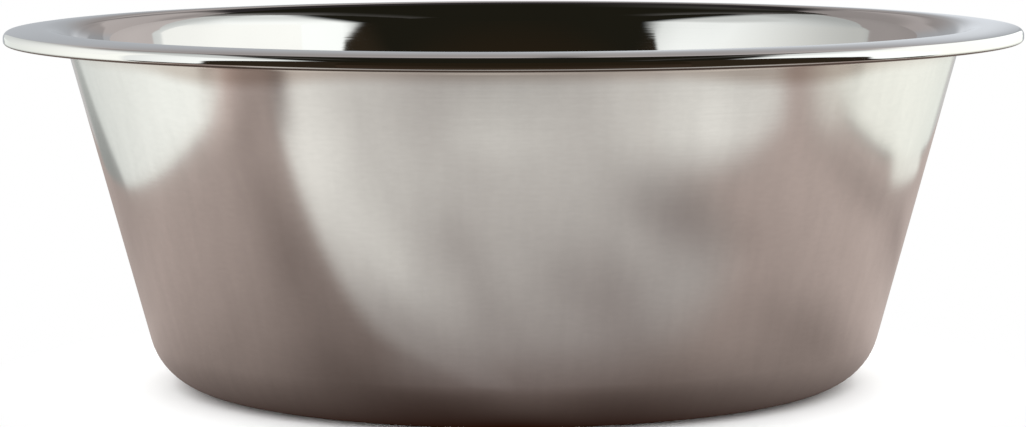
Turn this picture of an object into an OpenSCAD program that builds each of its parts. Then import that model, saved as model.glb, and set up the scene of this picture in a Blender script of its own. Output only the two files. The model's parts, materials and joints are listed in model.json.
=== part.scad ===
// Stainless dog bowl, drawn from one disc of sheet steel: a raised centre panel,
// a flat foot, a round corner, a leaning wall, a soft lip, a gently crowned rim
// and a rolled edge folded flat under. The part stands on z = 0, on its own axis.

/* [Rim] */
// Diameter across the rolled edge
rim_d = 280; // [272:1:300]
// Width of the rim, from the crest of the lip to the outer edge
rim_w = 10.6; // [8:0.2:16]
// Fall of the rim where it leaves the lip, in degrees
rim_fall = 2.2; // [0:0.2:6]
// Radius of the rim's gentle crown, on the side in view
crown_r = 75; // [40:1:200]
// Radius of the lip that turns the wall out into the rim, on the side in view
lip_r = 8; // [4:0.5:12]
// Outside radius of the bend that turns the rim down into the rolled edge
roll_r = 1.8; // [1.5:0.1:2.4]
// Straight height of the rolled edge, between its two bends
roll_drop = 0.7; // [0.2:0.1:2]
// Outside radius of the bend that folds the edge under
fold_r = 1; // [0.9:0.1:1.4]
// Turn of that fold, in degrees
fold_turn = 195; // [150:5:210]

/* [Cup] */
// Height of the lip's crest above the table
bowl_h = 99.2; // [70:0.2:130]
// Thickness of the sheet
sheet_t = 0.8; // [0.6:0.1:1]
// Outside radius of the corner between the foot and the wall
corner_r = 17.7; // [8:0.1:24]

/* [Foot] */
// Diameter at which the flat foot ends and the corner begins
foot_d = 167.4; // [150:0.2:180]
// Diameter at which the flat foot ends and the step to the panel begins
panel_d = 140; // [100:1:148]
// Height of the step between the foot and the panel
panel_rise = 1; // [0.6:0.1:3]
// Radius of each of the step's two bends, on the middle of the sheet
step_r = 2; // [1.6:0.1:4]

/* [Hidden] */
$fn = 240;
// Turn between two points of a bend, in degrees
bend_step = 6;

// The profile is drawn on the middle line of the sheet, half a thickness from
// each face
half_t = sheet_t / 2;
corner_mid = corner_r - half_t;
lip_mid = lip_r - half_t;
crown_mid = crown_r - half_t;
roll_mid = roll_r - half_t;
fold_mid = fold_r - half_t;

// The wall is the straight line that touches the corner on its outer side and the
// lip on its inner side, which sets its lean from upright
corner_c = [foot_d / 2, corner_r];
lip_c = [rim_d / 2 - rim_w, bowl_h - lip_r];
span = lip_c - corner_c;
wall_lean = atan2(span[0], span[1]) - asin((corner_mid + lip_mid) / norm(span));

// The rim's crown is tangent to the lip, and the rolled edge is tangent to the
// crown and reaches the full diameter
crown_from = 90 - rim_fall;
crown_c = on_arc(lip_c, lip_mid - crown_mid, crown_from);
roll_x = rim_d / 2 - roll_r;
crown_to = acos((roll_x - crown_c[0]) / (crown_mid - roll_mid));
roll_c = on_arc(crown_c, crown_mid - roll_mid, crown_to);
fold_c = [rim_d / 2 - fold_r, roll_c[1] - roll_drop];

// The step is an S of two equal bends, the upper one falling from the panel and
// the lower one flattening into the foot
step_turn = acos(1 - panel_rise / (2 * step_r));
step_low_c = [panel_d / 2, half_t + step_r];
step_high_c = on_arc(step_low_c, 2 * step_r, -90 - step_turn);

// Bends of the sheet from the axis outwards, each with its centre, its radius on
// the middle line, and the angles at which it starts and ends
bends = [
    [step_high_c, step_r, 90, 90 - step_turn],
    [step_low_c, step_r, -90 - step_turn, -90],
    [corner_c, corner_mid, -90, -wall_lean],
    [lip_c, lip_mid, 180 - wall_lean, crown_from],
    [crown_c, crown_mid, crown_from, crown_to],
    [roll_c, roll_mid, crown_to, 0],
    [fold_c, fold_mid, 0, -fold_turn],
];

// The point at an angle on an arc about c
function on_arc(c, r, angle) = c + r * [cos(angle), sin(angle)];

// Points of one face along one bend, where side is 1 for the face in view from
// above and -1 for the face underneath
function bend_face(bend, side) =
    let (from = bend[2], to = bend[3], steps = ceil(abs(to - from) / bend_step),
         r = bend[1] + side * sign(from - to) * half_t)
    [for (i = [0:steps]) on_arc(bend[0], r, from + (to - from) * i / steps)];

// Points of one whole face, from the axis to the free edge of the fold
function face(side) = concat(
    [[0, panel_rise + half_t + side * half_t]],
    [for (bend = bends) each bend_face(bend, side)]);

function reversed(points) = [for (i = [len(points) - 1:-1:0]) points[i]];

module bowl() {
    color("silver") rotate_extrude() polygon(concat(face(1), reversed(face(-1))));
}

bowl();
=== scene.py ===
"""Stainless dog bowl: one drawn sheet of steel, satin outside and polished inside, in a plain pale studio."""
import json
import math

import bpy
from bpy.props import FloatProperty, FloatVectorProperty, IntProperty, PointerProperty
from mathutils import Matrix, Vector


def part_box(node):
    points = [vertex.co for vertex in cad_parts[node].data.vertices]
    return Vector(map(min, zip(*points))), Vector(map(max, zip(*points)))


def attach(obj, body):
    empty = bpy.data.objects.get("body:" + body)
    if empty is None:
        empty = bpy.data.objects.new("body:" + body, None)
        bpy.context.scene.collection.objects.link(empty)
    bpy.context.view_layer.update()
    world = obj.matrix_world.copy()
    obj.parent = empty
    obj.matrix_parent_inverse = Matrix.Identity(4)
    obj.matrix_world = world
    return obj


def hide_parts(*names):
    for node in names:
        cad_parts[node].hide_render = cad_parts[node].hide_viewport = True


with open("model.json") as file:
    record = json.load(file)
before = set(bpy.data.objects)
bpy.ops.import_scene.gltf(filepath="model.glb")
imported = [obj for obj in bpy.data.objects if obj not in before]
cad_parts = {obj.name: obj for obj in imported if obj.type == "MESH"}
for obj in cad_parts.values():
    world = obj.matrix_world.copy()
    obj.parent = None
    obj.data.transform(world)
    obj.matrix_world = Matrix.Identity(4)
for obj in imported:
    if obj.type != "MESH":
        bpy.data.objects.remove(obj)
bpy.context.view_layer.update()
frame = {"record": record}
BOWL_LOW, BOWL_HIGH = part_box("bowl")
STEEL_COLOUR = frame["record"]["materials"][0]["base_color"]
MM = 0.001

bl_info = {
    "name": "Stainless Dog Bowl",
    "version": (1, 0, 0),
    "blender": (4, 5, 0),
    "location": "3D View > Sidebar > Dog Bowl",
    "description": "Draws a steel feeding bowl with a rolled rim, its two finishes and a studio round it",
    "category": "Object",
}


# Sizes and colours


class BowlSizes(bpy.types.PropertyGroup):
    """Sizes of the drawn sheet. Its diameter and height come from the frame."""

    rim_w: FloatProperty(
        name="Rim width", description="From the crest of the lip to the outer edge",
        default=10.6 * MM, min=8 * MM, max=16 * MM, unit="LENGTH",
    )
    rim_fall: FloatProperty(
        name="Rim fall", description="Slope of the rim where it leaves the lip",
        default=math.radians(2.2), min=0, max=math.radians(6), unit="ROTATION",
    )
    crown_r: FloatProperty(
        name="Crown radius", description="Radius of the rim's gentle crown, on the side in view",
        default=75 * MM, min=40 * MM, max=200 * MM, unit="LENGTH",
    )
    lip_r: FloatProperty(
        name="Lip radius", description="Radius of the lip, on the side in view",
        default=8 * MM, min=4 * MM, max=12 * MM, unit="LENGTH",
    )
    roll_r: FloatProperty(
        name="Roll radius", description="Outside radius of the bend that turns the rim down",
        default=1.8 * MM, min=1.5 * MM, max=2.4 * MM, unit="LENGTH",
    )
    roll_drop: FloatProperty(
        name="Roll drop", description="Straight height of the rolled edge, between its two bends",
        default=0.7 * MM, min=0.2 * MM, max=2 * MM, unit="LENGTH",
    )
    fold_r: FloatProperty(
        name="Fold radius", description="Outside radius of the bend that folds the edge under",
        default=1 * MM, min=0.9 * MM, max=1.4 * MM, unit="LENGTH",
    )
    fold_turn: FloatProperty(
        name="Fold turn", description="Turn of that fold, in and up again",
        default=math.radians(195), min=math.radians(150), max=math.radians(210), unit="ROTATION",
    )
    sheet_t: FloatProperty(
        name="Sheet thickness", description="Thickness of the steel sheet",
        default=0.8 * MM, min=0.6 * MM, max=1 * MM, unit="LENGTH",
    )
    corner_r: FloatProperty(
        name="Corner radius", description="Outside radius between the foot and the wall",
        default=17.7 * MM, min=8 * MM, max=24 * MM, unit="LENGTH",
    )
    foot_d: FloatProperty(
        name="Foot diameter", description="Where the flat foot ends and the corner begins",
        default=167.4 * MM, min=150 * MM, max=180 * MM, unit="LENGTH",
    )
    panel_d: FloatProperty(
        name="Panel diameter", description="Where the foot ends and the step to the panel begins",
        default=140 * MM, min=100 * MM, max=148 * MM, unit="LENGTH",
    )
    panel_rise: FloatProperty(
        name="Panel rise", description="Height of the step between the foot and the panel",
        default=1 * MM, min=0.6 * MM, max=3 * MM, unit="LENGTH",
    )
    step_r: FloatProperty(
        name="Step radius", description="Radius of each bend of the step, on the middle of the sheet",
        default=2 * MM, min=1.6 * MM, max=4 * MM, unit="LENGTH",
    )
    turns: IntProperty(
        name="Steps round the bowl", description="Faces round the bowl's axis",
        default=256, min=64, max=512,
    )


class BowlFinish(bpy.types.PropertyGroup):
    """Colours and gloss of the two faces of the sheet."""

    steel: FloatVectorProperty(
        name="Steel", description="Colour of the bare steel",
        default=STEEL_COLOUR, min=0, max=1, size=3, subtype="COLOR",
    )
    satin: FloatProperty(
        name="Satin roughness", description="Roughness of the brushed outside",
        default=0.13, min=0, max=1, subtype="FACTOR",
    )
    polish: FloatProperty(
        name="Polish roughness", description="Roughness of the polished inside and rim",
        default=0.035, min=0, max=1, subtype="FACTOR",
    )


class StudioSettings(bpy.types.PropertyGroup):
    """Camera, lamps and cards round the bowl."""

    camera_back: FloatProperty(
        name="Camera distance", description="From the bowl's axis to the camera, along the floor",
        default=1011.7 * MM, min=0.5, max=3, unit="LENGTH",
    )
    camera_up: FloatProperty(
        name="Camera height", description="Height of the camera above the floor",
        default=153.5 * MM, min=0, max=1, unit="LENGTH",
    )
    camera_pitch: FloatProperty(
        name="Camera pitch", description="Tilt of the camera down from level",
        default=0.1056, min=0, max=1, unit="ROTATION",
    )
    camera_roll: FloatProperty(
        name="Camera roll", description="Turn of the camera about its own line of sight",
        default=-0.0032, min=-1, max=1, unit="ROTATION",
    )
    camera_aside: FloatProperty(
        name="Camera offset", description="From the middle of the bowl to the camera, sideways",
        default=-0.26 * MM, min=-0.5, max=0.5, unit="LENGTH",
    )
    lens: FloatProperty(
        name="Lens", description="Focal length for a sensor 36 mm wide",
        default=128.35, min=20, max=300,
    )
    tent_half: FloatProperty(
        name="Tent half width", description="From the bowl's axis to the lamp panel on each side",
        default=0.65, min=0.4, max=3, unit="LENGTH",
    )
    tent_front: FloatProperty(
        name="Tent front", description="From the bowl's axis to the black card in front",
        default=0.9, min=0.4, max=3, unit="LENGTH",
    )
    tent_back: FloatProperty(
        name="Tent back", description="From the bowl's axis to the grey card behind",
        default=0.95, min=0.4, max=3, unit="LENGTH",
    )
    tent_tall: FloatProperty(
        name="Tent height", description="Height of the cards round the bowl",
        default=1.25, min=0.4, max=3, unit="LENGTH",
    )
    lamp_power: FloatProperty(
        name="Lamp power", description="Power of the soft lamp over the floor, in watts",
        default=10, min=0, max=200,
    )
    fill: FloatProperty(
        name="Fill", description="Brightness of the light from all round",
        default=2.2, min=0, max=4,
    )


# Shader maths


class Value:
    """A socket of a shader. Arithmetic on it adds Math nodes."""

    def __init__(self, tree, socket):
        self.tree, self.socket = tree, socket

    def _math(self, operation, *terms):
        return self.tree.add("ShaderNodeMath", {"operation": operation}, *terms)

    def __add__(self, other):
        return self._math("ADD", self, other)

    def __sub__(self, other):
        return self._math("SUBTRACT", self, other)

    def __rsub__(self, other):
        return self._math("SUBTRACT", other, self)

    def __mul__(self, other):
        return self._math("MULTIPLY", self, other)

    def __truediv__(self, other):
        return self._math("DIVIDE", self, other)

    def __pow__(self, other):
        return self._math("POWER", self, other)

    def highest(self, other):
        return self._math("MAXIMUM", self, other)

    def lowest(self, other):
        return self._math("MINIMUM", self, other)

    def size(self):
        return self._math("ABSOLUTE", self)

    def root(self):
        return self._math("SQRT", self)

    def exp(self):
        return self._math("EXPONENT", self)

    def near(self, reach):
        """1 at 0, fading to 0 as this value grows past a reach."""
        return (self * (-1 / reach)).exp()

    def ramp(self, low, high, to_low=0.0, to_high=1.0):
        """This value mapped smoothly from low..high to to_low..to_high."""
        settings = {"interpolation_type": "SMOOTHSTEP"}
        return self.tree.add("ShaderNodeMapRange", settings, self, low, high, to_low, to_high)

    __radd__, __rmul__ = __add__, __mul__


class Tree:
    """The nodes of one material or world."""

    def __init__(self, owner):
        owner.use_nodes = True
        self.nodes, self.links = owner.node_tree.nodes, owner.node_tree.links
        self.nodes.clear()

    def add(self, kind, settings=None, *terms, **named):
        """Adds a node, sets it, fills its inputs in order and by name, and returns its first output."""
        node = self.nodes.new(kind)
        for key, setting in (settings or {}).items():
            setattr(node, key, setting)
        inputs = [socket for socket in node.inputs if socket.enabled]
        filled = list(zip(inputs, terms))
        filled += [(node.inputs[key.replace("_", " ")], term) for key, term in named.items()]
        for socket, term in filled:
            if isinstance(term, Value):
                self.links.new(term.socket, socket)
            else:
                socket.default_value = term
        return Value(self, node.outputs[0]) if node.outputs else node

    def mix(self, factor, low, high):
        """A colour between two colours, each a socket or three numbers."""
        node = self.nodes.new("ShaderNodeMix")
        node.data_type, node.clamp_factor = "RGBA", False
        factor_in, low_in, high_in, colour_out = 0, 6, 7, 2
        for index, term in ((factor_in, factor), (low_in, low), (high_in, high)):
            if isinstance(term, Value):
                self.links.new(term.socket, node.inputs[index])
            else:
                node.inputs[index].default_value = (*term, 1) if isinstance(term, (tuple, list)) else term
        return Value(self, node.outputs[colour_out])

    def lighter(self, first, second):
        """Of each channel of two colours, the higher."""
        picked = self.mix(1.0, first, second)
        picked.socket.node.blend_type = "LIGHTEN"
        return picked

    def vector(self, x, y, z):
        """Three values as one vector."""
        return self.add("ShaderNodeCombineXYZ", None, x, y, z)

    def noise(self, vector, scale, detail=2.0, roughness=0.5):
        """Noise from 0 to 1 at a scale per unit of the vector."""
        named = {"Vector": vector, "Scale": scale, "Detail": detail, "Roughness": roughness}
        return self.add("ShaderNodeTexNoise", None, **named)


NO_LIGHT = (0, 0, 0)
WHITE = (1, 1, 1)


def new_tree(name):
    """A new material and its nodes."""
    material = bpy.data.materials.new(name)
    return material, Tree(material)


def finish_material(tree, shader):
    """Gives a material its surface."""
    tree.add("ShaderNodeOutputMaterial", None, shader)


def glow(tree, colour):
    """A surface that glows with a colour."""
    return tree.add("ShaderNodeEmission", None, Color=colour, Strength=1.0)


def place(tree):
    """The object's own coordinates, as one vector."""
    node = tree.add("ShaderNodeTexCoord").socket.node
    return Value(tree, node.outputs["Object"])


def axes(tree):
    """The x, y and z of the object's own coordinates."""
    split = tree.add("ShaderNodeSeparateXYZ", None, place(tree)).socket.node
    return [Value(tree, socket) for socket in split.outputs]


def distance(x, y):
    """How far a place lies from the middle."""
    return (x * x + y * y).root()


def between(value, start, end):
    """1 between two limits, each with a soft edge from its first number to its second."""
    return value.ramp(*start) * value.ramp(*end, 1, 0)


def seen_rays(tree):
    """1 for rays from the camera and for reflections and refractions of what is round the bowl, else 0."""
    path = tree.add("ShaderNodeLightPath").socket.node
    kinds = ("Is Camera Ray", "Is Glossy Ray", "Is Transmission Ray")
    camera, glossy, through = (Value(tree, path.outputs[kind]) for kind in kinds)
    return camera.highest(glossy).highest(through)


# Steel

# Scales of the turning lines and of the grain, per metre along them and across them
LINES_ALONG, LINES_ACROSS = 12, 1500
GRAIN_ALONG, GRAIN_ACROSS = 300, 900
LINE_DEPTH = 0.02 * MM

# Scale of the flutes round the bowl, with their change over each metre of height, and of the clouds per metre
FLUTES, FLUTE_CHANGE = 22, 2
CLOUDS = 18

# Height at which the painted shade under the rim, a brownish darkening of the steel, begins and at which it
# is full
RIM_SHADE_FROM = BOWL_HIGH.z - 9.7 * MM
RIM_SHADE_FULL = BOWL_HIGH.z - 5.2 * MM
RIM_SHADE_COLOUR = (0.26, 0.17, 0.12)

# How much lower the painted shade under the rim reaches at both sides, and where it dips, rises again and
# thins out. Those places are shares of the radius: 0 is the middle of the front or back, and 1 is either side
RIM_SHADE_DIP = 2.6 * MM
RIM_SHADE_DIPS, RIM_SHADE_RISES, RIM_SHADE_THINS = (0.30, 0.60), (0.64, 0.80), (0.66, 0.88)
RIM_SHADE_SIDE_SHARE = 0.55

# Painted shade under the folded edge: where it is full and ends below the fold's centre, and where it begins
# and is full inside that centre, in fold radii
UNDER_ENDS, UNDER_INSIDE = (-0.62, -0.22), (4, 2)
# The painted shade's dark brown colour, how fully it covers the steel, and how much rougher the edge is there
UNDER_SHADE_COLOUR, UNDER_SHADE_COVER, UNDER_DULLER = (0.07, 0.038, 0.020), 0.9, 0.30


def steel(name, finish, roughness, brush_depth, flutes, rim_shade, fold):
    """Bare steel with fine turning lines, faint upright flutes and a fine grain.

    Shade is painted just under the rim as a brownish darkening, lower at both sides, and the folded edge is
    dull underneath, with dark brown shade painted there.
    """
    material, tree = new_tree(name)
    x, y, z = axes(tree)
    radius = distance(x, y)
    across = z + radius
    lines_at = tree.vector(x * LINES_ALONG, y * LINES_ALONG, across * LINES_ACROSS)
    lines = tree.noise(lines_at, 1.0, detail=3.0, roughness=0.6)
    grain_at = tree.vector(x * GRAIN_ALONG, y * GRAIN_ALONG, across * GRAIN_ACROSS)
    grain = tree.noise(grain_at, 1.0, roughness=0.6)
    flute_at = tree.vector(x / radius, y / radius, z * FLUTE_CHANGE)
    flute = tree.noise(flute_at, FLUTES, detail=3.0, roughness=0.6)
    cloud = tree.noise(place(tree), CLOUDS, detail=3.0, roughness=0.55)

    # Each share says how much a pattern changes the brightness or the roughness
    cloud_share, grain_share = 0.05, 0.6
    shine = 1 + (flute - 0.5) * flutes + (grain - 0.5) * (flutes * grain_share)
    shine = shine * (1 - cloud.ramp(0.3, 0.7, cloud_share, 0))
    base = tree.mix(shine, NO_LIGHT, list(finish.steel))

    # Painted shade under the rim: the base colour turns brownish just below the rim, reaching lower at both
    # sides
    aside = (x / radius).size()
    dip = aside.ramp(*RIM_SHADE_DIPS, 0, RIM_SHADE_DIP) * aside.ramp(*RIM_SHADE_RISES, 1, 0)
    cover = aside.ramp(*RIM_SHADE_THINS, rim_shade, rim_shade * RIM_SHADE_SIDE_SHARE)
    base = tree.mix((z + dip).ramp(RIM_SHADE_FROM, RIM_SHADE_FULL) * cover, base, RIM_SHADE_COLOUR)

    # Painted shade under the folded edge: the base colour turns dark brown there, and the edge is also
    # rougher
    fold_centre, fold_r = fold
    inner, outer = (fold_centre.x - inside * fold_r for inside in UNDER_INSIDE)
    under = ((z - fold_centre.y) / fold_r).ramp(*UNDER_ENDS, 1, 0) * radius.ramp(inner, outer)
    base = tree.mix(under * UNDER_SHADE_COVER, base, UNDER_SHADE_COLOUR)

    line_share, cloud_share = 0.4, 0.3
    rough = (lines - 0.5) * (roughness * line_share) + (cloud - 0.5) * (roughness * cloud_share)
    rough = rough + roughness + under * UNDER_DULLER
    bump = tree.add("ShaderNodeBump", None, Strength=brush_depth, Distance=LINE_DEPTH, Height=lines)
    finish_material(tree, tree.add(
        "ShaderNodeBsdfPrincipled", None,
        Base_Color=base, Metallic=1.0, Roughness=rough, Normal=bump,
    ))
    return material


# The sheet's middle line


def polar(centre, radius, angle):
    """The point (x, z) at an angle on an arc about a centre."""
    return Vector((centre.x + radius * math.cos(angle), centre.y + radius * math.sin(angle)))


def sheet_bends(sizes):
    """Bends of the sheet from the axis outwards: centre, radius on the middle line, first and last angle."""
    half_t = sizes.sheet_t / 2
    rim_r = (BOWL_HIGH.x - BOWL_LOW.x) / 2
    outside = (sizes.corner_r, sizes.lip_r, sizes.crown_r, sizes.roll_r, sizes.fold_r)
    corner_mid, lip_mid, crown_mid, roll_mid, fold_mid = (radius - half_t for radius in outside)
    upright = math.pi / 2

    corner = Vector((sizes.foot_d / 2, sizes.corner_r))
    lip = Vector((rim_r - sizes.rim_w, BOWL_HIGH.z - sizes.lip_r))
    span = lip - corner
    lean = math.atan2(span.x, span.y) - math.asin((corner_mid + lip_mid) / span.length)

    crown_from = upright - sizes.rim_fall
    crown = polar(lip, lip_mid - crown_mid, crown_from)
    crown_to = math.acos((rim_r - sizes.roll_r - crown.x) / (crown_mid - roll_mid))
    roll = polar(crown, crown_mid - roll_mid, crown_to)
    fold = Vector((rim_r - sizes.fold_r, roll.y - sizes.roll_drop))

    step_turn = math.acos(1 - sizes.panel_rise / (2 * sizes.step_r))
    step_low = Vector((sizes.panel_d / 2, half_t + sizes.step_r))
    step_high = polar(step_low, 2 * sizes.step_r, -upright - step_turn)
    return (
        (step_high, sizes.step_r, upright, upright - step_turn),
        (step_low, sizes.step_r, -upright - step_turn, -upright),
        (corner, corner_mid, -upright, -lean),
        (lip, lip_mid, math.pi - lean, crown_from),
        (crown, crown_mid, crown_from, crown_to),
        (roll, roll_mid, crown_to, 0),
        (fold, fold_mid, 0, -sizes.fold_turn),
    )


def run_to(start, end, parts):
    """Extrudes the selected end of the middle line straight to a point."""
    step = (end - start) / parts
    for _ in range(parts):
        bpy.ops.mesh.extrude_vertices_move(TRANSFORM_OT_translate={"value": (step.x, 0, step.y)})


def round_bend(centre, start, end, step):
    """Spins the selected end of the middle line about a bend's centre."""
    bpy.ops.mesh.spin(
        steps=max(3, math.ceil(abs(end - start) / step)), angle=end - start,
        center=(centre.x, 0, centre.y), axis=(0, 1, 0),
    )


class BOWL_OT_sheet(bpy.types.Operator):
    """Draws the bowl's middle line bend by bend, spins it round the axis and gives it its thickness"""

    bl_idname = "bowl.sheet"
    bl_label = "Draw the bowl"

    def execute(self, context):
        sizes, finish = context.scene.bowl_sizes, context.scene.bowl_finish
        start = Vector((0, sizes.panel_rise + sizes.sheet_t / 2))
        bpy.ops.object.select_all(action="DESELECT")
        bpy.ops.mesh.primitive_plane_add(size=sizes.sheet_t, location=(0, 0, start.y))
        piece = context.object
        piece.name = piece.data.name = "steel_bowl"
        bpy.ops.object.mode_set(mode="EDIT")
        bpy.ops.mesh.select_all(action="SELECT")
        bpy.ops.mesh.merge(type="CENTER")

        bend_step, run_parts = math.radians(6), 6
        bends = sheet_bends(sizes)
        end = start
        for centre, mid_r, first, last in bends:
            bend_start = polar(centre, mid_r, first)
            if (bend_start - end).length > sizes.sheet_t / 100:
                run_to(end, bend_start, run_parts)
            round_bend(centre, first, last, bend_step)
            end = polar(centre, mid_r, last)

        bpy.ops.mesh.select_all(action="SELECT")
        bpy.ops.mesh.spin(steps=sizes.turns, angle=math.tau, center=(0, 0, 0), axis=(0, 0, 1))
        bpy.ops.mesh.select_all(action="SELECT")
        bpy.ops.mesh.remove_doubles(threshold=sizes.sheet_t / 1000)
        bpy.ops.mesh.normals_make_consistent(inside=False)
        bpy.ops.object.mode_set(mode="OBJECT")
        bpy.ops.object.transform_apply(location=True, rotation=True, scale=True)

        fold = (bends[-1][0], sizes.fold_r)
        polished = steel(
            "polished_steel", finish, finish.polish, brush_depth=0.15, flutes=0.0, rim_shade=0.0, fold=fold,
        )
        # The satin outside carries the painted shade under the rim
        satin = steel(
            "satin_steel", finish, finish.satin, brush_depth=0.10, flutes=0.12, rim_shade=0.5, fold=fold,
        )
        piece.data.materials.append(polished)
        piece.data.materials.append(satin)
        bpy.ops.object.modifier_add(type="SOLIDIFY")
        wall = piece.modifiers[-1]
        wall.thickness, wall.offset, wall.use_even_offset = sizes.sheet_t, 0, True
        wall.material_offset = 1
        bpy.ops.object.modifier_apply(modifier=wall.name)
        bpy.ops.object.shade_smooth_by_angle(angle=math.radians(40))

        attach(piece, "root")
        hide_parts("bowl")
        return {"FINISHED"}


# Studio. Places and limits are in metres, and levels are shares of white.

BLACK = (0.0165, 0.0155, 0.0100)
FLOOR_COLOUR = (0.9, 0.9, 0.9)
FLOOR_HALF = 8

# Height of a card that lies on the floor
ON_FLOOR = 0.4 * MM

LAMP_WIDE, LAMP_DEEP = 1.6, 1.2
LAMP_PLACE = (0, 0.1, 1.3)

# Width of the camera's sensor, in millimetres
SENSOR_WIDE = 36

# Distance from the axis at which the floor's shadow begins to fade and at which it is gone
SHADOW_FADES = (0.095, 0.150)


def floor_material():
    """Plain pale floor that keeps the bowl's shadow, and is white further off."""
    material, tree = new_tree("pale_floor")
    x, y, _ = axes(tree)
    far = distance(x, y).ramp(*SHADOW_FADES)
    matt = tree.add("ShaderNodeBsdfDiffuse", None, (*FLOOR_COLOUR, 1))
    white = glow(tree, (*WHITE, 1))
    finish_material(tree, tree.add("ShaderNodeMixShader", None, seen_rays(tree) * far, matt, white))
    return material


def patch(x, y, centre, turn, length, width):
    """1 at a centre, fading out over an ellipse with its half length turned by an angle in degrees."""
    turn = math.radians(turn)
    aside, ahead = x - centre[0], y - centre[1]
    along = (aside * math.cos(turn) + ahead * math.sin(turn)) / length
    across = (ahead * math.cos(turn) - aside * math.sin(turn)) / width
    return (along * along + across * across).near(1)


def past_line(x, front, point, slope):
    """How far a place lies in front of a line through a point, which slopes by an angle in degrees."""
    slope = math.radians(slope)
    return (x - point[0]) * math.sin(slope) + (front - point[1]) * math.cos(slope)


# Painted light and shade of creases and spots on the paper round the foot: centre, turn, half length, half
# width, and how much each darkens or brightens it
PAINTED_PATCHES = (
    ((0.035, -0.160), 24, 0.045, 0.018, -0.22),
    ((-0.040, -0.178), 0, 0.022, 0.014, -0.12),
    ((0.050, -0.128), 90, 0.026, 0.016, -0.16),
    ((0.103, -0.165), 35, 0.044, 0.022, -0.42),
    ((0.112, -0.150), 90, 0.020, 0.018, -0.12),
    ((0.075, -0.165), 60, 0.020, 0.012, 0.14),
    ((-0.132, -0.118), 0, 0.062, 0.020, -0.34),
    ((-0.055, -0.100), 0, 0.030, 0.012, -0.24),
    ((-0.195, -0.164), 10, 0.014, 0.011, -0.75),
    ((-0.213, -0.135), 90, 0.030, 0.014, -0.20),
    ((0.120, -0.200), 30, 0.032, 0.018, 0.36),
    ((0.162, -0.172), 50, 0.028, 0.018, 0.24),
    ((-0.030, -0.230), 0, 0.040, 0.014, 0.44),
    ((-0.045, -0.223), 0, 0.018, 0.018, 0.14),
    ((-0.070, -0.205), 20, 0.050, 0.018, 0.20),
    ((-0.145, -0.175), 20, 0.045, 0.022, 0.10),
    ((-0.050, -0.150), 20, 0.030, 0.015, 0.12),
    ((0.006, -0.170), 0, 0.020, 0.016, 0.13),
    ((-0.022, -0.164), 53, 0.034, 0.010, -0.11),
    ((-0.072, -0.153), 20, 0.026, 0.012, 0.11),
    ((0.003, -0.090), 0, 0.016, 0.014, 1.70),
    ((0.070, -0.104), 25, 0.035, 0.014, 0.16),
    ((0.110, -0.110), 20, 0.040, 0.020, 0.10),
    ((0.120, -0.052), 80, 0.042, 0.025, -0.26),
    ((0.163, -0.150), 40, 0.022, 0.012, -0.15),
    ((0.134, -0.124), 40, 0.024, 0.013, -0.14),
    ((-0.052, -0.132), 10, 0.022, 0.010, -0.15),
    ((0.010, -0.112), 0, 0.030, 0.009, 0.16),
    ((0.234, 0.005), 92, 0.085, 0.020, -0.30),
    ((0.196, 0.125), 105, 0.060, 0.032, -0.20),
    ((-0.252, -0.107), 90, 0.028, 0.018, 0.85),
)


# Colours of the table card: the paper round the foot, the pale sheet on it, and what lies beyond
PAPER_DARK, PAPER = (0.020, 0.004, 0.0), (1.0, 0.86, 0.80)
SHEET_DARK, SHEET = (0.070, 0.016, 0.016), (1.0, 1.01, 0.97)
BACK_GREY, FRONT_BROWN, FAR_BROWN = (0.62, 0.61, 0.60), (0.42, 0.34, 0.29), (0.050, 0.034, 0.022)
STRIP_WHITE = (1.05, 1.07, 1.00)


def foot_shade(x, y):
    """The light left under the flare of the wall, least at the foot's front and close round the foot."""
    foot_front, foot_edge, squeeze = 0.085, 0.0865, 0.62
    flare_reach, close_reach, depth = 0.060, 0.0145, 1.4
    flare = distance(x * squeeze, y + foot_front).near(flare_reach)
    close = (distance(x, y) - foot_edge).highest(0).near(close_reach)
    return (1 - flare) ** depth * (1 - close)


def paper_unevenness_and_patches(tree, x, y):
    """Soft unevenness of the paper, and its painted light and shade in creases and spots, as a share of its
    light.
    """
    scale, share = 26.0, 0.16
    unevenness_and_patches = 1 + (tree.noise(place(tree), scale) - 0.5) * share
    # Painted patches of light and shade, each darkening or brightening the card
    for centre, turn, length, width, change in PAINTED_PATCHES:
        unevenness_and_patches = unevenness_and_patches * (1 + patch(x, y, centre, turn, length, width) * change)
    return unevenness_and_patches


def sheet_mask(x, front):
    """1 on the pale sheet in front of the foot: two raised ends with sloping edges, and a middle."""
    left = past_line(x, front, (-0.190, 0.1547), 13).ramp(-0.006, 0.006)
    left = left * between(x, (-0.205, -0.190), (-0.015, 0.015))
    right = past_line(x, front, (0.100, 0.182), 24.9).ramp(-0.012, 0.012)
    right = right * between(x, (0.080, 0.115), (0.218, 0.238))
    middle = between(x, (-0.060, -0.030), (0.095, 0.150)) * front.ramp(0.100, 0.135)
    return left.highest(right).highest(middle)


def table_beyond(tree, x, y, tone):
    """The table's tone, grey beyond the reflectors at the back and brown all round the front of the paper."""
    paper_left, paper_right, strip_left = (-0.265, -0.257), (0.262, 0.270), (0.240, 0.254)
    grey = tree.mix(y.ramp(0.24, 0.36), NO_LIGHT, BACK_GREY)
    brown = tree.mix((0 - y).ramp(0.03, 0.06), grey, FRONT_BROWN)
    beyond = tree.mix(x.size().ramp(0.31, 0.34), brown, grey)
    tone = tree.mix(between(x, paper_left, paper_right), beyond, tone)

    # White along the foot of the right reflector, and a spot in front of it
    strip = x.ramp(*strip_left) * between(y, (0.060, 0.105), (0.24, 0.30))
    strip = strip.highest(patch(x, y, (0.264, -0.082), 80, 0.034, 0.016) * 0.85)
    return tree.mix(strip, tone, STRIP_WHITE)


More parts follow.
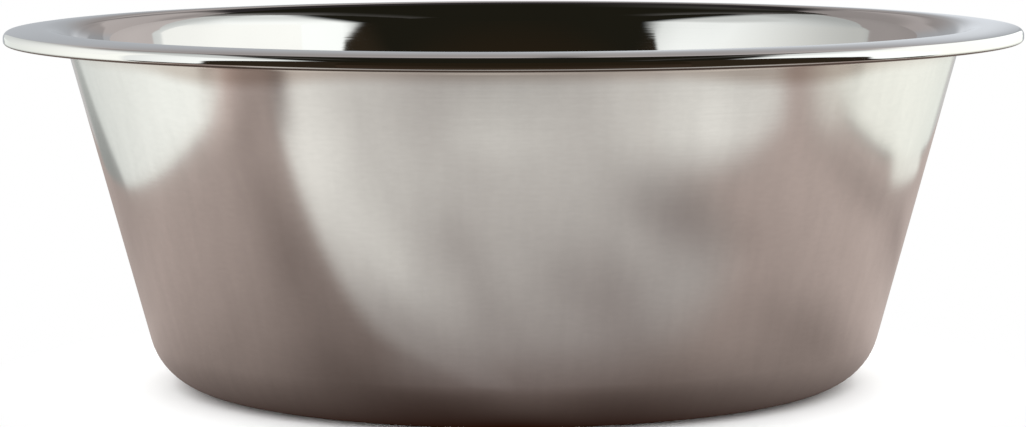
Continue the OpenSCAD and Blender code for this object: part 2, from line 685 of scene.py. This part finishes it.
def table_edge(tree, x, front, tone):
    """The table's tone, dimmer and then dark brown towards its front edge, which slants at the right."""
    corner_x, corner_slope, corner_front, corner_cover = 0.14, 0.85, 0.222, 0.60
    tone = tree.mix(front.ramp(0.228, 0.268, 1, 0.42), NO_LIGHT, tone)
    cut = front + (x - corner_x).highest(0) * corner_slope - corner_front
    cut = cut.ramp(-0.013, 0.008) * between(x, (0.110, 0.140), (0.27, 0.30))
    tone = tree.mix(cut * corner_cover, tone, FAR_BROWN)
    return tree.mix(front.ramp(0.256, 0.272), tone, FAR_BROWN)


def table_material():
    """Warm grey round the foot, a paler sheet in front, painted shadow towards the foot and brown further
    off.
    """
    material, tree = new_tree("table_card")
    x, y, _ = axes(tree)
    front = 0 - y
    # Painted shadow of the bowl on the glowing card, times the painted patches
    shade = foot_shade(x, y) * paper_unevenness_and_patches(tree, x, y)
    paper_level = x.ramp(-0.05, 0.15, 0.61, 0.73) * y.ramp(0.00, 0.16, 1, 0.76)
    paper = tree.mix(shade * paper_level, PAPER_DARK, PAPER)
    sheet_level = x.ramp(-0.165, -0.010, 1.26, 0.86) * x.ramp(0.110, 0.185, 1, 1.40)
    left_fade = front.ramp(0.140, 0.240, 1.12, 0.62) - 1
    sheet_level = sheet_level * (1 + left_fade * x.ramp(-0.06, 0.02, 1, 0))
    sheet = tree.mix(shade * sheet_level, SHEET_DARK, SHEET)
    tone = tree.mix(sheet_mask(x, front), paper, sheet)
    tone = table_beyond(tree, x, y, tone)
    finish_material(tree, glow(tree, table_edge(tree, x, front, tone)))
    return material


def see_through(tree, opaque, level, tint):
    """A glowing card that is only there where it is opaque."""
    clear = tree.add("ShaderNodeBsdfTransparent")
    white = glow(tree, tree.mix(level, NO_LIGHT, tint))
    finish_material(tree, tree.add("ShaderNodeMixShader", None, opaque, clear, white))


# White reflectors beside the bowl: name, two opposite corners and look. A look has the tint, the place of
# the front edge, its slant back up to a height, the level from front to back, the line behind which the
# reflector is dimmer, with its slant and its dimming at the foot and higher up, and the level at the top
REFLECTORS = (
    ("left_reflector", (-0.246, -0.12, 0), (-0.246, 0.35, 0.17), {
        "tint": (0.945, 1.0, 0.965), "edge": -0.122, "slant": 3.4, "slant_top": 0.010,
        "fade": (-0.12, 0.20, 1.45, 0.95),
        "second": 0.130, "second_slant": 2.2, "second_dims": (0.6, 0.44), "rise": 1.08,
    }),
    ("right_reflector", (0.271, -0.09, 0), (0.271, 0.42, 0.17), {
        "tint": (0.955, 1.0, 0.935), "edge": -0.100, "slant": 4.5, "slant_top": 0.014,
        "fade": (0.05, 0.30, 1.30, 1.04),
        "second": 0.36, "second_slant": 0.5, "second_dims": (0.3, 0.2), "rise": 1.28,
    }),
)

# White wings close to the rim: name, front and back end on the floor, height and look. A look has the level
# from front to back and at the top, and the soft edges at the top and at the back
WINGS = (
    ("left_wing", (-0.250, -0.090), (-0.190, 0.215), 0.26, {
        "fade": (-0.06, 0.20, 1.45, 0.78), "upper": 1.00,
        "soft_top": (0.18, 0.26), "soft_end": (0.190, 0.215),
    }),
    ("right_wing", (0.275, -0.060), (0.185, 0.200), 0.32, {
        "fade": (0.06, 0.20, 1.60, 1.46), "upper": 0.98,
        "soft_top": (0.25, 0.33), "soft_end": (0.192, 0.200),
    }),
)
WING_TINT = (0.95, 1.0, 0.98)

# Height at which a wing begins, with its soft edge
WING_FOOT = (0.097, 0.107)

# Lamp panels: name, side and look. A look has the place and slant of the lit front edge, the height and
# slope of its bend, its slope near the floor, the height, slope and softness of its top, the level from
# front to back and from low to high, and the place and level of the grey behind
PANELS = (
    ("left_panel", -1, {
        "edge": 0.282, "slant": 0.59, "bend_at": 0.62, "bend": 0.90, "foot_slope": 0.0,
        "top": 1.03, "top_slope": 0.50, "top_soft": 0.06,
        "fade": (-0.45, 0.55, 1.55, 0.62), "upper": (0.42, 0.66, 1.5, 0.92),
        "back_edge": 0.43, "back_level": 0.47,
    }),
    ("right_panel", 1, {
        "edge": 0.171, "slant": 0.547, "bend_at": 0.535, "bend": 0.85, "foot_slope": 0.60,
        "top": 1.06, "top_slope": 0.85, "top_soft": 0.12,
        "fade": (0.05, 0.62, 1.60, 0.82), "upper": (0.50, 1.00, 1.6, 1.12),
        "back_edge": 0.47, "back_level": 0.74,
    }),
)
PANEL_WHITE, PANEL_GREY, PANEL_BROWN = (0.96, 1.03, 1.03), (1.0, 0.95, 0.94), (0.035, 0.026, 0.016)


def reflector_material(name, tint, edge, slant, slant_top, fade, second, second_slant, second_dims, rise):
    """White reflector beside the bowl, with a slanting front edge, dimmer behind a second line."""
    material, tree = new_tree(name)
    _, y, z = axes(tree)
    behind = (y - second - z * second_slant).ramp(-0.012, 0.012)
    level = y.ramp(*fade) * (1 - behind * z.ramp(0, 0.05, *second_dims)) * z.ramp(0.045, 0.085, 1, rise)
    see_through(tree, (y - edge - z.lowest(slant_top) * slant).ramp(-0.006, 0.006), level, tint)
    return material


def wing_material(name, fade, upper, soft_top, soft_end):
    """White wing close to the rim, fading towards the back and with soft edges."""
    material, tree = new_tree(name)
    _, y, z = axes(tree)
    level = y.ramp(*fade) * z.ramp(0.11, 0.21, 1, upper)
    opaque = between(z, WING_FOOT, soft_top) * y.ramp(*soft_end, 1, 0)
    see_through(tree, opaque, level, WING_TINT)
    return material


def panel_material(
    name, edge, slant, bend_at, bend, foot_slope, top, top_slope, top_soft, fade, upper,
    back_edge, back_level,
):
    """Lamp panel at one side, with a slanting front edge and a soft top, and grey behind.

    In front of that edge the card is dark, brown low down and black higher up.
    """
    material, tree = new_tree(name)
    _, y, z = axes(tree)
    foot_top = 0.12
    ahead = y + edge + z * slant + (z - bend_at).highest(0) * bend - (foot_top - z).highest(0) * foot_slope
    over = (z + y.ramp(-0.5, -0.2, -0.06, 0.02)).ramp(*upper)
    hot = y.ramp(*fade).lowest(over) * (y * top_slope + top - z).ramp(-top_soft, 0.14)
    hot = tree.mix(hot, NO_LIGHT, PANEL_WHITE)
    grey = y.ramp(0.10, 0.45, 0, back_level) * y.ramp(0.60, 0.95, 1, 0.92) * z.ramp(0.9, 1.3, 1, 0.85)
    grey = tree.mix(grey, NO_LIGHT, PANEL_GREY)
    bend_back_at, bend_back = 0.45, 0.5
    behind = (y - back_edge - (z - bend_back_at).highest(0) * bend_back).ramp(-0.008, 0.008)
    lit = tree.lighter(tree.mix(behind, tree.lighter(hot, grey), grey), BLACK)
    dark = tree.mix(z.ramp(0.55, 0.68), PANEL_BROWN, BLACK)
    finish_material(tree, glow(tree, tree.mix(ahead.ramp(-0.012, 0.012), dark, lit)))
    return material


def backdrop_material():
    """Grey paper behind the bowl, paler low down and to the right, and black high up in the middle."""
    material, tree = new_tree("back_card")
    x, _, z = axes(tree)
    cool, warm, black = (0.95, 1.0, 1.06), (1.03, 0.97, 0.96), (0.035, 0.031, 0.033)

    # Paler at the foot right of the middle, and dimmer in a wide patch left of the middle and a narrow one
    level = z.ramp(0.10, 0.32, 0.52, 0.50)
    level = level + between(x, (-0.04, 0.12), (0.26, 0.31)) * z.ramp(0.18, 0.40, 0.36, 0)
    middle = between(x, (-0.32, -0.22), (0.02, 0.22)) * z.ramp(0.27, 0.48, 0.05, 0.27)
    level = level * (1 - middle * z.ramp(0.47, 0.56, 1, 0))
    level = level * (1 - patch(x, z, (0.035, 0.60), 90, 0.10, 0.02) * 0.70)

    # The left half fades upwards, and the right half is brighter over a line that bows down to the side
    left = level * z.ramp(0.55, 0.75, 1.04, 0.80)
    bow_from, bow, line = 0.30, 4, 0.53
    sideways = (x - bow_from).highest(0)
    over = (z + sideways * sideways * bow - line).ramp(-0.02, 0.02, 0.89, 1.18)
    right = level * over * z.ramp(0.85, 1.05, 1, 0.75)
    to_right = x.ramp(0.06, 0.14)
    tint = tree.mix(z.ramp(0.25, 0.50), cool, warm)
    grey = tree.mix(left * (1 - to_right) + right * to_right, NO_LIGHT, tint)

    black_from, black_slope = 0.67, 1.4
    dark = (z - x.size() * black_slope - black_from).ramp(-0.06, 0.05)
    finish_material(tree, glow(tree, tree.mix(dark, grey, black)))
    return material


def front_material():
    """Black card in front of the bowl, browner lower down and at its foot."""
    material, tree = new_tree("front_flag")
    _, _, z = axes(tree)
    low_brown, foot_brown = (0.025, 0.018, 0.010), (0.065, 0.044, 0.030)
    dark = tree.mix(z.ramp(0.60, 0.72), low_brown, BLACK)
    finish_material(tree, glow(tree, tree.mix(z.ramp(0.015, 0.055), foot_brown, dark)))
    return material


def top_material():
    """Black card over the bowl. Some of the panels' light spills along its two sides and its back edge."""
    material, tree = new_tree("top_flag")
    x, y, _ = axes(tree)
    right = x.ramp(0.42, 0.62) * y.ramp(-0.1, 0.8, 0.05, 0.34)
    left = x.ramp(-0.66, -0.45, 0.10, 0) * y.ramp(-0.6, -0.1)
    back = y.ramp(0.35, 0.85, 0, 0.05) * between(x, (-0.50, -0.30), (-0.25, -0.05))
    finish_material(tree, glow(tree, tree.mix(right + left + back, BLACK, WHITE)))
    return material


def seen_in_steel(card):
    """Keeps a card out of the picture, so that only the steel's reflections show it."""
    card.visible_camera = card.visible_diffuse = card.visible_shadow = False
    card.visible_transmission = card.visible_volume_scatter = False


def add_card(name, low, high, material, hidden=True):
    """A flat card between two corners, square to an axis."""
    bpy.ops.object.select_all(action="DESELECT")
    bpy.ops.mesh.primitive_plane_add(size=1, location=(0, 0, 0))
    card = bpy.context.object
    card.name = card.data.name = name
    low, high = Vector(low), Vector(high)
    flat = min(range(3), key=lambda axis: abs(high[axis] - low[axis]))
    turns = {0: (0, math.pi / 2, 0), 1: (math.pi / 2, 0, 0), 2: (0, 0, 0)}
    card.rotation_euler = turns[flat]
    bpy.ops.object.transform_apply(rotation=True)
    least_scale = 1e-9
    card.scale = [max(high[axis] - low[axis], least_scale) for axis in range(3)]
    card.location = (low + high) / 2
    bpy.ops.object.transform_apply(location=True, scale=True)
    card.data.materials.append(material)
    if hidden:
        seen_in_steel(card)
    return card


def add_wing(name, front, back, height, material):
    """An upright card between two points of the floor."""
    card = add_card(name, (0, 0, ON_FLOOR), (math.dist(front, back), 0, height), material)
    card.rotation_euler.z = math.atan2(back[1] - front[1], back[0] - front[0])
    card.location = (*front, 0)
    bpy.ops.object.transform_apply(location=True, rotation=True)


def add_tent(studio):
    """Closes the bowl in with the cards that the steel mirrors."""
    wide, near, far, tall = studio.tent_half, -studio.tent_front, studio.tent_back, studio.tent_tall
    add_card("table_card", (-wide, near, ON_FLOOR), (wide, far, ON_FLOOR), table_material())
    for name, low, high, look in REFLECTORS:
        add_card(name, low, high, reflector_material(name, **look))
    for name, front, back, height, look in WINGS:
        add_wing(name, front, back, height, wing_material(name, **look))
    for name, side, look in PANELS:
        add_card(name, (side * wide, near, 0), (side * wide, far, tall), panel_material(name, **look))
    add_card("back_card", (-wide, far, 0), (wide, far, tall), backdrop_material())
    add_card("front_flag", (-wide, near, 0), (wide, near, tall), front_material())
    add_card("top_flag", (-wide, near, tall), (wide, far, tall), top_material())


def add_softbox(studio):
    """A soft lamp above the bowl, for the shadow on the floor alone."""
    lamp = bpy.data.lights.new("softbox", "AREA")
    lamp.shape, lamp.size, lamp.size_y = "RECTANGLE", LAMP_WIDE, LAMP_DEEP
    lamp.energy = studio.lamp_power
    holder = bpy.data.objects.new("softbox", lamp)
    bpy.context.collection.objects.link(holder)
    holder.location = LAMP_PLACE
    holder.visible_camera = holder.visible_glossy = False


def add_world(fill):
    """White all round for the camera and in reflections, and a soft fill for the rest."""
    world = bpy.data.worlds.new("studio_white")
    tree = Tree(world)
    level = seen_rays(tree) * (1 - fill) + fill
    shader = tree.add("ShaderNodeBackground", None, (*WHITE, 1), level)
    tree.add("ShaderNodeOutputWorld", None, shader)
    bpy.context.scene.world = world


def add_camera(studio):
    """The camera, in front of the bowl and a little above its rim."""
    data = bpy.data.cameras.new("camera")
    data.sensor_width, data.sensor_fit, data.lens = SENSOR_WIDE, "HORIZONTAL", studio.lens
    camera = bpy.data.objects.new("camera", data)
    bpy.context.collection.objects.link(camera)
    camera.location = (studio.camera_aside, -studio.camera_back, studio.camera_up)
    level = Matrix.Rotation(math.pi / 2 - studio.camera_pitch, 4, "X")
    camera.rotation_euler = (level @ Matrix.Rotation(studio.camera_roll, 4, "Z")).to_euler()
    bpy.context.scene.camera = camera


class BOWL_OT_studio(bpy.types.Operator):
    """Adds the floor, the camera, the soft lamp and the cards that the steel mirrors"""

    bl_idname = "bowl.studio"
    bl_label = "Add the studio"

    def execute(self, context):
        studio = context.scene.bowl_studio
        add_camera(studio)
        add_world(studio.fill)
        low, high = (-FLOOR_HALF, -FLOOR_HALF, 0), (FLOOR_HALF, FLOOR_HALF, 0)
        add_card("floor", low, high, floor_material(), hidden=False)
        add_tent(studio)
        add_softbox(studio)
        context.scene.view_settings.view_transform = "Standard"
        return {"FINISHED"}


class BOWL_PT_panel(bpy.types.Panel):
    """The steps and sizes of the bowl, in the sidebar"""

    bl_idname = "BOWL_PT_panel"
    bl_label = "Dog Bowl"
    bl_space_type = "VIEW_3D"
    bl_region_type = "UI"
    bl_category = "Dog Bowl"

    def draw(self, context):
        for operator in OPERATORS:
            self.layout.operator(operator.bl_idname)
        for group in (context.scene.bowl_sizes, context.scene.bowl_finish, context.scene.bowl_studio):
            box = self.layout.box()
            for name in group.__annotations__:
                box.prop(group, name)


GROUPS = {"bowl_sizes": BowlSizes, "bowl_finish": BowlFinish, "bowl_studio": StudioSettings}
OPERATORS = (BOWL_OT_sheet, BOWL_OT_studio)


def register():
    for name, group in GROUPS.items():
        bpy.utils.register_class(group)
        setattr(bpy.types.Scene, name, PointerProperty(type=group))
    for cls in (*OPERATORS, BOWL_PT_panel):
        bpy.utils.register_class(cls)


def unregister():
    for cls in (BOWL_PT_panel, *reversed(OPERATORS)):
        bpy.utils.unregister_class(cls)
    for name, group in reversed(list(GROUPS.items())):
        delattr(bpy.types.Scene, name)
        bpy.utils.unregister_class(group)


def main():
    register()
    bpy.ops.bowl.sheet()
    bpy.ops.bowl.studio()


if __name__ == "__main__":
    main()
